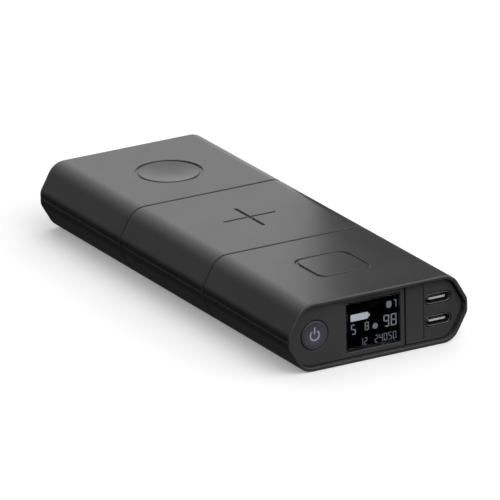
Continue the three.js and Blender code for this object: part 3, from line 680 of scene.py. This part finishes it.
def bar(x0, x1, z0, z1, radius):
    """A rectangle between two places across and two up."""
    return rectangle(x1 - x0, z1 - z0, radius, (x0 + x1) / 2, (z0 + z1) / 2, 2, 0.005)


bars_of = {"0": "abcdef", "1": "bc", "2": "abdeg", "3": "abcdg", "4": "bcfg", "5": "acdfg",
           "6": "acdefg", "7": "abc", "8": "abcdefg", "9": "abcdfg"}


def digits(text, x, z, high, stroke):
    """Seven-bar digits from the lower left corner: bars a, g, d lie across, the others stand."""
    wide = high * digit_share
    h, t, g = high / 2, stroke, stroke * bar_gap
    places = {"a": (0, wide, high - t, high), "g": (0, wide, h - t / 2, h + t / 2), "d": (0, wide, 0, t),
              "b": (wide - t, wide, h + g, high - g), "c": (wide - t, wide, g, h - g),
              "e": (0, t, g, h - g), "f": (0, t, h + g, high - g)}
    outlines = []
    for number, sign in enumerate(text):
        left = x + number * (wide + stroke * digit_step)
        for key in bars_of[sign]:
            x0, x1, z0, z1 = places[key]
            if key in "agd":
                x0, x1 = x0 + t + g, x1 - t - g
            outlines.append(bar(left + x0, left + x1, z + z0, z + z1, t * bar_round))
    return outlines


print("window centre", window_x.round(2), "panel face", panel_face.round(2))

# %% What the display shows
gauge = [bar(-8.1, -1.9, 1.2, 3.4, 0.3), bar(-1.8, -1.35, 1.8, 2.8, 0.15)]
marks = [circle(0.95, 0.55, -1.7, 24), bar(4.6, 6.4, 3.2, 5.4, 0.5)]
charge = digits("98", 3.5, -2.8, 3.9, 0.42)
level = [*digits("5", -8.0, -3.1, 3.3, 0.38), *digits("8", -3.1, -2.5, 2.7, 0.32),
         *digits("7", 6.9, 3.1, 2.4, 0.32)]
foot = digits("12", -5.0, -7.1, 2.3, 0.27) + digits("24050", 0.3, -7.1, 2.4, 0.28)

# each group of signs has its own strength of light
shown = {"screen_gauge": (gauge, 0.5), "screen_marks": (marks, 0.16), "screen_charge": (charge, 0.19),
         "screen_level": (level, 0.18), "screen_foot": (foot, 0.11)}
screen_signs = {name: piece(name, lit(outlines)) for name, (outlines, _) in shown.items()}

# %% [markdown]
# ## The sockets
#
# A socket is a drawn steel tube with rounded sides, an insert that closes its back and carries a thin
# tongue, and a row of gold pins on each face of the tongue. All of it begins just inside the plate.

# %% Sockets
tube_wall, tube_length, insert_deep, insert_edge = 0.3, 9.2, 2.4, 0.1
tongue_across, tongue_thick, tongue_back, tongue_corner, tongue_edge = 6.2, 0.7, 0.4, 0.8, 0.15
pin_count, pin_pitch, pin_middle, pin_edge = 12, 0.5, 3.5, 0.02
pin_wide, pin_long, pin_corner, pin_stand = 0.28, 3.6, 0.08, 0.03
# the rounded lip of a tube, from its outside to its inside: (outwards, deep)
tube_lip = [(0, 0.1), (-0.04, 0.03), (-0.1, 0),
            (-tube_wall + 0.1, 0), (-tube_wall + 0.03, 0.04), (-tube_wall, 0.12)]


def socket_tube(x, start, z):
    """The tube's wall: a rounded lip, the inside, the flat back end, the outside, joined end to end."""
    profile = [*tube_lip, (-tube_wall, tube_length), (0, tube_length)]
    made = rings(rectangle(*socket_outline(0), x, z, 16, 0.01), profile)
    return facing([sheet(made, around=True, closed=True)], into(start))


def socket_insert(x, start, z):
    """The moulded back of the socket and the tongue that stands out of it, one overlapping the other."""
    outline = rectangle(*socket_outline(-tube_wall - fit_gap), x, z, 12, 0.01)
    back = slab(outline, deep=insert_deep, edge=insert_edge)
    near, far = start + tongue_back, start + tube_length - insert_deep / 2
    tongue = rectangle(tongue_across, far - near, tongue_corner, x, (near + far) / 2, 6, 0.05)
    flat = slab(tongue, deep=tongue_thick, edge=tongue_edge, back_edge=tongue_edge)
    return (facing(back, into(start + tube_length - insert_deep))
            + facing(flat, lambda x, y, d: (x, y, z + tongue_thick / 2 - d)))


def socket_pins(x, start, z):
    """Flat pins on each face of the tongue, side by side at an even pitch."""
    sheets = []
    places = x + (np.arange(pin_count) - (pin_count - 1) / 2) * pin_pitch
    for side in (-1, 1):
        level = z + side * tongue_thick / 2
        for place in places:
            pin = rectangle(pin_wide, pin_long, pin_corner, place, start + pin_middle, 2, 0.01)
            flat = slab(pin, deep=pin_stand * 2, edge=pin_edge)
            sheets += facing(flat, lambda x, y, d: (x, y, level + side * (pin_stand - d)))
    return sheets


tubes, inserts, pins = [], [], []
for end, (x, y, z) in sockets.items():
    place = (x, y - tube_length / 2, z)
    tubes.append(piece(f"socket_tube_{end}", socket_tube(*place), "case", [f"usb_shell_{end}"]))
    inserts.append(piece(f"socket_insert_{end}", socket_insert(*place), "case",
                         [f"usb_tongue_{end}"]))
    pins.append(piece(f"socket_pins_{end}", socket_pins(*place), "case"))

# %% [markdown]
# ## The rear contacts
#
# Four gold-plated pads look out through slots in the rear plate. Each is a small block with rounded
# edges, set back a little so that a flat surface can't bridge them.

# %% Rear contacts
rear_pads = []
for number, (x, _, z) in enumerate(pads, 1):
    low, high = box(f"dock_contact_{number}")
    flat = slab(rectangle(pad_width, pad_tall, pad_corner, x, z, 5), deep=high[1] - low[1])
    rear_pads.append(piece(f"rear_pad_{number}", facing(flat, into(high[1], -1)), "case",
                           [f"dock_contact_{number}"]))

# %% [markdown]
# ## Building a finish from nodes
#
# A finish is a small network. It reads the place on the object, makes noise at the sizes that the real
# surface has, and feeds colour, roughness and relief from it. The helpers need no tree: a socket knows the
# one it belongs to.

# %% Node helpers
def node(at, kind, *inputs, output=0, **settings):
    """A new node in the tree that at belongs to, with its inputs in order. None leaves one as it is."""
    made = at.id_data.nodes.new("ShaderNode" + kind)
    for name, value in settings.items():
        setattr(made, name, value)
    for number, value in enumerate(inputs):
        connect(made.inputs[number], value)
    return made.outputs[output]


def connect(socket, value):
    """Links a socket to another node's output, or sets it."""
    if isinstance(value, bpy.types.NodeSocket):
        socket.id_data.links.new(value, socket)
    elif value is not None:
        socket.default_value = value


def combine(operation, first, *others):
    """The Math node's sum, product or other operation on its values."""
    return node(first, "Math", first, *others, operation=operation)


def millimetres(at, stretch=(1, 1, 1)):
    """Places on the object in millimetres, stretched along an axis where the pattern has a direction."""
    scale = [1 / MM / share for share in stretch]
    return node(at, "Mapping", node(at, "TexCoord", output="Object"), None, None, scale)


def noise(where, size, detail=3.0, roughness=0.55):
    """Noise from about 0.3 to 0.7 whose features are about size millimetres across."""
    return node(where, "TexNoise", where, None, 1 / size, detail, roughness, output="Fac")


def spread(value, low, high, start=0.3, end=0.7):
    """Value carried from start..end to low..high, and held there beyond."""
    return node(value, "MapRange", value, start, end, low, high)


def blend(share, first, second):
    """Colour between first and second. At least one of the three is a node's output."""
    at = next(value for value in (share, first) if isinstance(value, bpy.types.NodeSocket))
    made = at.id_data.nodes.new("ShaderNodeMix")
    made.data_type = "RGBA"
    connect(made.inputs["Factor"], share)
    for socket, colour in zip([s for s in made.inputs if s.type == "RGBA"], (first, second)):
        connect(socket, colour if isinstance(colour, bpy.types.NodeSocket) else (*colour, 1.0))
    return next(s for s in made.outputs if s.type == "RGBA")


def start_finish(name, **values):
    """A material, its surface shader with the even values set, and its places in millimetres."""
    made = bpy.data.materials.new(name)
    made.use_nodes = True
    shader = made.node_tree.nodes["Principled BSDF"]
    for key, value in values.items():
        shader.inputs[key.replace("_", " ")].default_value = value
    return made, shader, millimetres(shader)


def tint(shader, share, first, second):
    """The base colour runs from first to second."""
    connect(shader.inputs["Base Color"], blend(share, first, second))


def gloss(shader, share, low, high, *span):
    """The roughness runs from low to high while the share runs over its span."""
    connect(shader.inputs["Roughness"], spread(share, low, high, *span))


def emboss(shader, height, deep):
    """The normal is that of a surface whose height runs over deep millimetres."""
    made = shader.id_data.nodes.new("ShaderNodeBump")
    made.inputs["Strength"].default_value = 1.0
    made.inputs["Distance"].default_value = deep * MM
    connect(made.inputs["Height"], height)
    connect(shader.inputs["Normal"], made.outputs["Normal"])


def dress(finish, *objects):
    """The pieces take this finish alone."""
    for made in objects:
        made.data.materials.clear()
        made.data.materials.append(finish)


# %% [markdown]
# ## Moulded plastics
#
# The casing is a charcoal plastic with an even spark-eroded texture: grains a fifth of a millimetre across
# and a hundredth deep, which turn a gloss into a soft sheen. Cloudy patches vary the sheen, and on rounded
# edges, where hands rub, the surface is smoother and a little paler. The paler colour there is partly wear
# and partly a painted highlight along the rims.

# %% Moulded plastics
# edges turn smoother and up to half again paler; the paler colour is partly wear, partly a painted highlight
darker, lighter, edge_paler_wear_and_highlight, rubbed_smoother, edge_wear_and_highlight_patches = 0.93, 1.07, 1.5, 0.12, 1.6


def moulded(name, colour, roughness, grain=0.22, deep=0.012, patches=18.0, worn=0.5, **values):
    """Plastic whose colour varies by a tenth in patches, with grain in its relief, paler and smoother along its
    edges, where the attribute edge times noise is high. The paler colour is partly wear and partly a painted
    highlight."""
    made, shader, where = start_finish(name, **values)
    cloud = noise(where, patches)
    fine = noise(where, grain, 2.0)
    edge = node(shader, "Attribute", output=2, attribute_name="edge")
    # the edge mask: the attribute edge times noise, for wear and a painted highlight along the rims
    edge_wear_and_highlight = spread(combine("MULTIPLY", edge, noise(where, edge_wear_and_highlight_patches)), 0.0, worn, 0.04, 0.2)
    dark, light, pale = (tuple(part * share for part in colour) for share in (darker, lighter, edge_paler_wear_and_highlight))
    # the paler colour along the edges: partly wear, partly a painted highlight
    tint(shader, edge_wear_and_highlight, blend(spread(cloud, 0, 1), dark, light), pale)
    rough = spread(combine("ADD", cloud, fine), roughness - 0.02, roughness + 0.03, 0.8, 1.2)
    smoother = combine("MULTIPLY", edge_wear_and_highlight, rubbed_smoother)
    connect(shader.inputs["Roughness"], combine("SUBTRACT", rough, smoother))
    emboss(shader, fine, deep)
    return made


casing_finish = moulded("casing_plastic", (0.042, 0.042, 0.044), 0.3, IOR=1.5)
plate_finish = moulded("plate_plastic", (0.045, 0.045, 0.047), 0.34, grain=0.16, deep=0.008, worn=0.3)
dress(casing_finish, casing_top, casing_base)
dress(plate_finish, display_plate, socket_plate, contact_plate)

# %% [markdown]
# ## The key's glow and the display's light
#
# The key is moulded thin and a little milky, so that the lamp behind its sign shows as a faint violet halo
# that fades with the distance from the middle. Its sign and the panel's signs give off light themselves.

# %% Lit surfaces
halo_full, halo_end, halo_violet = 1.2, 4.9, (0.020, 0.017, 0.030)
key_finish = moulded("key_plastic", (0.04, 0.04, 0.043), 0.4, 0.16, 0.008, worn=0.2, Emission_Strength=1.0)
shader = key_finish.node_tree.nodes["Principled BSDF"]
place = node(shader, "TexCoord", output="Object")
away = node(shader, "VectorMath", place, (middle + (key_x, front_face, 0)) * MM, operation="DISTANCE", output=1)
halo = spread(away, 1.0, 0.0, halo_full * MM, halo_end * MM)
connect(shader.inputs["Emission Color"], blend(halo, (0, 0, 0), halo_violet))
dress(key_finish, power_key)


def glowing(name, colour, strength, variation=0.12, size=0.6):
    """A lit inlay: its light varies a little across it, as with a lamp behind a diffuser."""
    made, shader, where = start_finish(name, Roughness=0.35, Emission_Strength=strength)
    dim = tuple(part * (1 - variation) for part in colour)
    uneven = blend(spread(noise(where, size), 0, 1), dim, colour)
    connect(shader.inputs["Emission Color"], uneven)
    tint(shader, 0.93, uneven, (0.02, 0.02, 0.02))
    gloss(shader, noise(where, 0.3), 0.3, 0.42)
    return made


sign_violet, screen_white = (0.78, 0.72, 1.0), (0.80, 0.88, 1.0)
dress(glowing("sign_light", sign_violet, 0.26), power_mark)
for name, made in screen_signs.items():
    dress(glowing(name + "_light", screen_white, shown[name][1]), made)

# %% [markdown]
# ## The glass and its black rim
#
# The cover is clear, and the panel behind it near black. Both vary a little in tint and polish. The cover's
# sides are painted black, as on a real one, so that the wall of the opening doesn't show through it.

# %% Glass
cover_finish, shader, where = start_finish("cover_glass", IOR=1.5, Transmission_Weight=1.0)
tint(shader, spread(noise(where, 6.0), 0, 1), (0.93, 0.94, 0.96), (0.98, 0.98, 1.0))
gloss(shader, noise(where, 2.5), 0.0, 0.03)

panel_finish, shader, where = start_finish("panel_black", IOR=1.4)
tint(shader, spread(noise(where, 4.0), 0, 1), (0.002, 0.002, 0.003), (0.004, 0.0045, 0.006))
gloss(shader, noise(where, 0.5), 0.1, 0.16)
dress(cover_finish, screen_cover)
dress(panel_finish, screen_panel)


# %% Painted faces
def lengthwise(made):
    """How far each face of a piece looks along its length: -1 towards the display end, 1 to the rear."""
    return column(made.data.polygons, "normal", 3, float)[:, 1]


def paint(made, finish, chosen):
    """The chosen faces of a piece take a second finish."""
    made.data.materials.append(finish)
    made.data.polygons.foreach_set("material_index", chosen.astype(np.int32))
    print(made.name, "painted faces:", int(chosen.sum()), "of", len(chosen))


side_share, front_share = 0.5, -0.3  # lengthwise stays below these on a side, either way, and on a front
paint(screen_cover, panel_finish, np.abs(lengthwise(screen_cover)) < side_share)

# %% [markdown]
# ## Metals
#
# Rolled and drawn metal shows fine lines along the way it was worked. So the noise is stretched in that
# direction, and it drives the roughness and a relief of a few thousandths of a millimetre. Soft patches of
# another tone lie over it. The sockets' tubes are blackened. The inserts' faces that look towards the
# display end, the tips of their tongues among them, are painted pale: a painted highlight.

# %% Metals
def worked_metal(name, colour, tone, roughness, stretch=(1, 12, 1), size=0.12, deep=0.002):
    """Metal with lines along stretch: colour and tone in patches, roughness and relief from the lines."""
    made, shader, where = start_finish(name, Metallic=1.0)
    lines = noise(millimetres(shader, stretch), size, 4.0)
    cloud = noise(where, 3.0)
    tint(shader, spread(cloud, 0, 1), colour, tone)
    gloss(shader, combine("ADD", lines, cloud), roughness - 0.07, roughness + 0.1, 0.75, 1.25)
    emboss(shader, lines, deep)
    return made


tube_steel = worked_metal("blackened_steel", (0.2, 0.2, 0.205), (0.14, 0.14, 0.145), 0.45)
gold_plating = worked_metal("gold_plating", (0.85, 0.62, 0.28), (0.72, 0.5, 0.2), 0.26, (1, 1, 8))
nickel_strip = worked_metal("nickel_strip", (0.62, 0.59, 0.54), (0.5, 0.48, 0.45), 0.34, (10, 1, 1))
screw_steel = worked_metal("screw_steel", (0.4, 0.4, 0.42), (0.28, 0.28, 0.3), 0.35, (1, 1, 1), 0.3)
can_aluminium = worked_metal("can_aluminium", (0.75, 0.76, 0.78), (0.6, 0.61, 0.64), 0.3, (1, 1, 10))
pad_gold = worked_metal("contact_gold", (0.86, 0.64, 0.30), (0.76, 0.53, 0.22), 0.46, (1, 1, 6), 0.2, 0.004)
dress(tube_steel, *tubes)
dress(gold_plating, *pins)
dress(pad_gold, *rear_pads)

# %% Inserts with a painted highlight on their fronts
fine_mould = dict(grain=0.1, deep=0.004, patches=2.0, worn=0.3)
insert_finish = moulded("insert_plastic", (0.10, 0.10, 0.105), 0.5, **fine_mould)
# a pale copy of the insert plastic: a painted highlight for the faces that look towards the display end
insert_front_highlight_finish = moulded("insert_front_painted_highlight", (0.46, 0.46, 0.47), 0.4, **fine_mould)
dress(insert_finish, *inserts)
# faces that look towards the display end take the pale copy, a painted highlight
for made in inserts:
    paint(made, insert_front_highlight_finish, lengthwise(made) < front_share)

# %% [markdown]
# ## Inside the casing
#
# The inner pieces are the CAD solids themselves. They are hidden while the casing is closed, but each
# still gets the finish of its real material: laminate, shrink sleeve, ferrite, cured epoxy, insulation.

# %% Inner plastics and insulation
inner_black = moulded("inner_plastic", (0.012, 0.012, 0.013), 0.6, grain=0.3, deep=0.02, worn=0)
chip_epoxy = moulded("chip_epoxy", (0.009, 0.009, 0.01), 0.62, grain=0.08, deep=0.006, patches=3.0, worn=0)
white_nylon = moulded("white_nylon", (0.66, 0.63, 0.57), 0.5, grain=0.25, deep=0.01, patches=5.0, worn=0)
jacket = dict(grain=0.5, deep=0.02, patches=6.0, worn=0)
red_jacket = moulded("red_jacket", (0.36, 0.012, 0.012), 0.42, **jacket)
black_jacket = moulded("black_jacket", (0.01, 0.01, 0.01), 0.42, **jacket)

# %% Laminate, sleeve, ferrite and ribbon
laminate, shader, where = start_finish("board_laminate", IOR=1.5, Coat_Weight=0.4, Coat_Roughness=0.2)
weave = [node(where, "TexWave", where, 2.2, 0.4, 2.0, output=1, bands_direction=axis) for axis in ("X", "Y")]
cloth = combine("MULTIPLY", *weave)
tracks = node(where, "TexVoronoi", millimetres(where, (1, 6, 1)), None, 0.5, feature="DISTANCE_TO_EDGE")
green = blend(cloth, (0.006, 0.05, 0.022), (0.010, 0.075, 0.034))
tint(shader, spread(tracks, 1, 0, 0.03, 0.06), green, (0.03, 0.14, 0.06))
gloss(shader, noise(where, 2.0), 0.32, 0.48)
emboss(shader, cloth, 0.01)

sleeve, shader, where = start_finish("cell_sleeve", IOR=1.52)
wrinkle = noise(millimetres(shader, (1, 9, 1)), 1.4, 3.0)
tint(shader, spread(noise(where, 9.0), 0, 1), (0.010, 0.075, 0.29), (0.014, 0.1, 0.36))
gloss(shader, wrinkle, 0.28, 0.4)
emboss(shader, wrinkle, 0.03)

ferrite, shader, where = start_finish("pressed_ferrite", IOR=1.6)
grit = noise(where, 0.18, 4.0, 0.7)
tint(shader, spread(grit, 0, 1), (0.012, 0.013, 0.015), (0.045, 0.047, 0.052))
gloss(shader, noise(where, 2.0), 0.6, 0.8)
emboss(shader, grit, 0.03)

ribbon, shader, where = start_finish("amber_ribbon", IOR=1.6)
stripes = node(where, "TexWave", where, 1.6, 0.0, 0.0, output=1, bands_direction="X")
tint(shader, stripes, (0.20, 0.075, 0.012), (0.42, 0.19, 0.04))
gloss(shader, noise(where, 1.0), 0.3, 0.42)
emboss(shader, stripes, 0.01)

# %% Dress the inner nodes by how their names start
inside = {
    inner_black: "display_carrier switch_plunger button_switch board_link cell_holder",
    chip_epoxy: "controller_chip charger_chip",
    white_nylon: "battery_connector button_light",
    red_jacket: "battery_lead_positive contact_lead_1",
    black_jacket: "battery_lead_negative contact_lead_2",
    laminate: "front_board main_board rear_contact_board",
    sleeve: "cell_front cell_rear",
    ferrite: "power_inductor",
    ribbon: "display_flex",
    can_aluminium: "capacitor",
    nickel_strip: "cell_strip cell_link",
    screw_steel: "board_screw",
}
plain = {name: made for name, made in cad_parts.items() if not made.hide_render}
for finish, starts in inside.items():
    names = [name for name in plain if name.startswith(tuple(starts.split()))]
    dress(finish, *(plain.pop(name) for name in names))
print("CAD nodes without a finish:", sorted(plain))

# %% [markdown]
# ## The studio
#
# The pack lies on a plain pale floor, which is left out of reflections and bounced light, so that the
# flanks stay dark. To the right of the far end stands a grey card that only reflections show. It darkens
# the top on that side. Neither sheet belongs to the object.

# %% Floor and card
azimuth, elevation, lean_angle = (math.radians(angle) for angle in (-29.34, 19.73, -1.15))
across = np.array((math.cos(azimuth), math.sin(azimuth), 0))
along = np.array((-math.sin(azimuth), math.cos(azimuth), 0))


def stage_sheet(name, corners, finish, greys, patches, unseen, **values):
    """A flat sheet between four corners in metres, whose colour wanders between two greys in patches.
    The kinds of ray named as unseen pass through it."""
    mesh = bpy.data.meshes.new(name)
    mesh.from_pydata(np.asarray(corners).tolist(), [], [(0, 1, 2, 3)])
    made = bpy.data.objects.new(name, mesh)
    bpy.context.scene.collection.objects.link(made)
    paper, shader, where = start_finish(finish, Roughness=0.9, **values)
    tint(shader, noise(where, patches), *((grey, grey, grey) for grey in greys))
    dress(paper, made)
    for ray in unseen:
        setattr(made, "visible_" + ray, False)


half, drop = 4.0, 0.00005
corners = [(-half, -half, -drop), (half, -half, -drop), (half, half, -drop), (-half, half, -drop)]
stage_sheet("studio_floor", corners, "studio_paper", (0.80, 0.84), 60.0,
            ("glossy", "diffuse", "transmission"), Emission_Color=(1, 1, 1, 1), Emission_Strength=0.25)

left, right, far, high = 0.022, 0.45, 0.087, 0.16
places = [(left, 0), (right, 0), (right, high), (left, high)]
corners = [across * x + along * far + (0, 0, z) for x, z in places]
stage_sheet("studio_card", corners, "studio_felt", (0.10, 0.14), 4.0,
            ("camera", "diffuse", "transmission", "shadow"))

# %% [markdown]
# ## The light
#
# All light comes from the sky, whose strength depends on the direction. It is strongest high up in front,
# grows a little towards the right, and fades out below the horizon. Each part of the direction is carried
# over a range, and they combine as (front * overhead + side) * above + below.

# %% Sky
world = bpy.data.worlds.new("studio")
bpy.context.scene.world = world
world.use_nodes = True
tree = world.node_tree
rightward, rearward, up = (node(tree, "SeparateXYZ", node(tree, "TexCoord"), output=axis) for axis in range(3))
side = spread(rightward, 0.1, 1.1, -0.6, 0.25)
in_front = spread(rearward, 1.7, 0.0, -0.8, -0.1)
overhead = spread(up, 0.0, 1.0, 0.25, 0.5)
above = spread(up, 0.0, 1.0, -0.18, 0.02)
below = spread(up, 0.055, 0.0, -0.6, -0.42)
background = tree.nodes["Background"]
background.inputs["Color"].default_value = (1, 1, 1, 1)
sky = combine("MULTIPLY_ADD", in_front, overhead, side)
connect(background.inputs["Strength"], combine("MULTIPLY_ADD", sky, above, below))
bpy.context.scene.view_settings.view_transform = "Standard"

# %% [markdown]
# ## The camera
#
# A long lens far away keeps the pack's edges nearly parallel. The camera stands to the left of the
# display end and a little above, and leans by a degree.

# %% Camera
distance, lens = 2.755, 636.0
back = Vector((*(-along * math.cos(elevation))[:2], math.sin(elevation)))
camera = bpy.data.objects.new("camera", bpy.data.cameras.new("camera"))
bpy.context.scene.collection.objects.link(camera)
camera.location = Vector(middle * MM) + back * distance
camera.rotation_mode = "QUATERNION"
camera.rotation_quaternion = (-back).to_track_quat("-Z", "Y") @ Quaternion((0, 0, 1), lean_angle)
camera.data.lens = lens
bpy.context.scene.camera = camera
